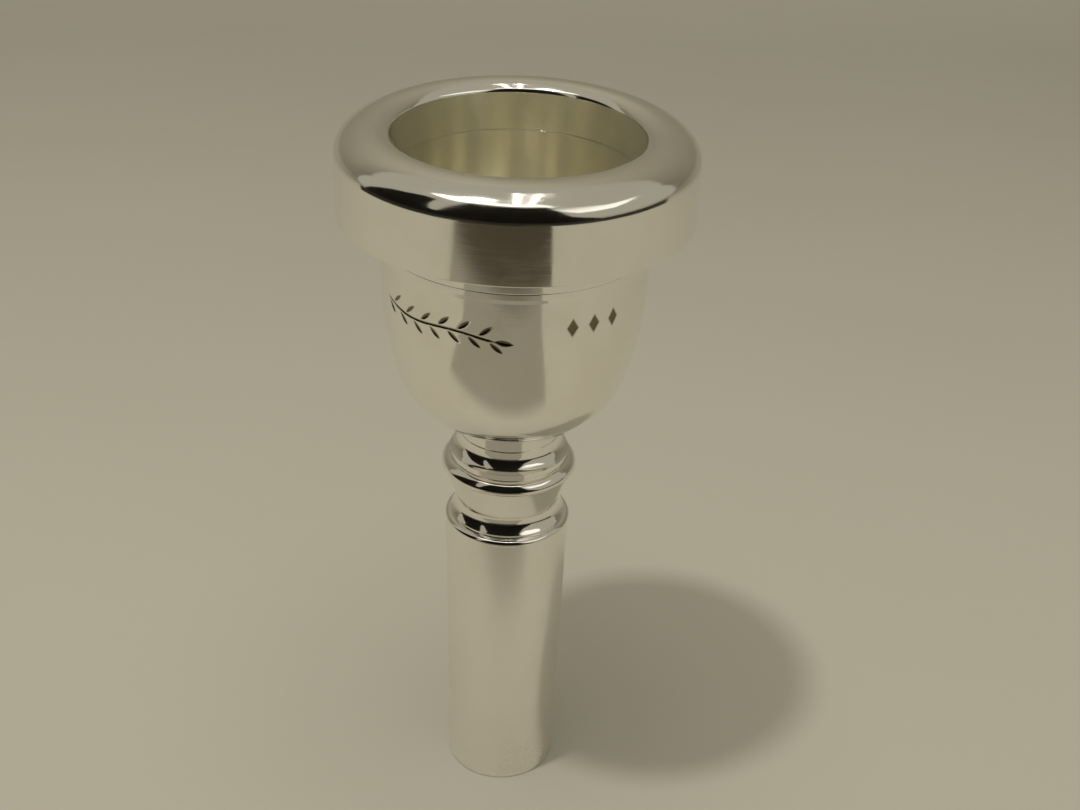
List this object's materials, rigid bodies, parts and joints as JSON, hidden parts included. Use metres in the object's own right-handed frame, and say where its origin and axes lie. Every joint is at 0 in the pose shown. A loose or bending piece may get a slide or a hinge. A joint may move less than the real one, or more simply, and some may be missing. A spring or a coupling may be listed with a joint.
{
  "type": "trombone mouthpiece",
  "caption": "Large-shank trombone mouthpiece: a screw-on rim with a rounded crown, a deep bowl cup, a turned neck with beads and a tapered shank.",
  "frame": {"origin": "centre of the shank's open end, on the surface that the mouthpiece stands on", "axes": "+Z along the bore, from the shank's end up to the rim; X and Y are free, because every piece is turned"},
  "size_m": [0.0375, 0.0374, 0.082],
  "materials": {
    "silver_plate": "polished silver plate over turned brass",
    "o_ring_rubber": "matt nitrile rubber"
  },
  "bodies": {
    "shank": {"shank": "silver_plate"},
    "shank_seal": {"shank_o_ring": "o_ring_rubber"},
    "cup": {"cup": "silver_plate"},
    "rim_seal": {"rim_o_ring": "o_ring_rubber"},
    "rim": {"rim": "silver_plate"}
  },
  "joints": [
    {"name": "cup_lift", "type": "slide", "parent": "shank", "child": "shank_seal", "axis": [0, 0, 1], "range_m": [0, 0.00451]},
    {"name": "cup_turn", "type": "hinge", "parent": "shank_seal", "child": "cup", "pos_m": [0, 0, 0.0465], "axis": [0, 0, 1], "range_deg": [0, 2160]},
    {"name": "rim_lift", "type": "slide", "parent": "cup", "child": "rim_seal", "axis": [0, 0, 1], "range_m": [0, 0.00451]},
    {"name": "rim_turn", "type": "hinge", "parent": "rim_seal", "child": "rim", "pos_m": [0, 0, 0.0699], "axis": [0, 0, 1], "range_deg": [0, 2160]}
  ],
  "couplings": [
    {"joint": "cup_lift", "follows": "cup_turn", "m_per_rad": 0.00011937},
    {"joint": "rim_lift", "follows": "rim_turn", "m_per_rad": 0.00011937}
  ]
}
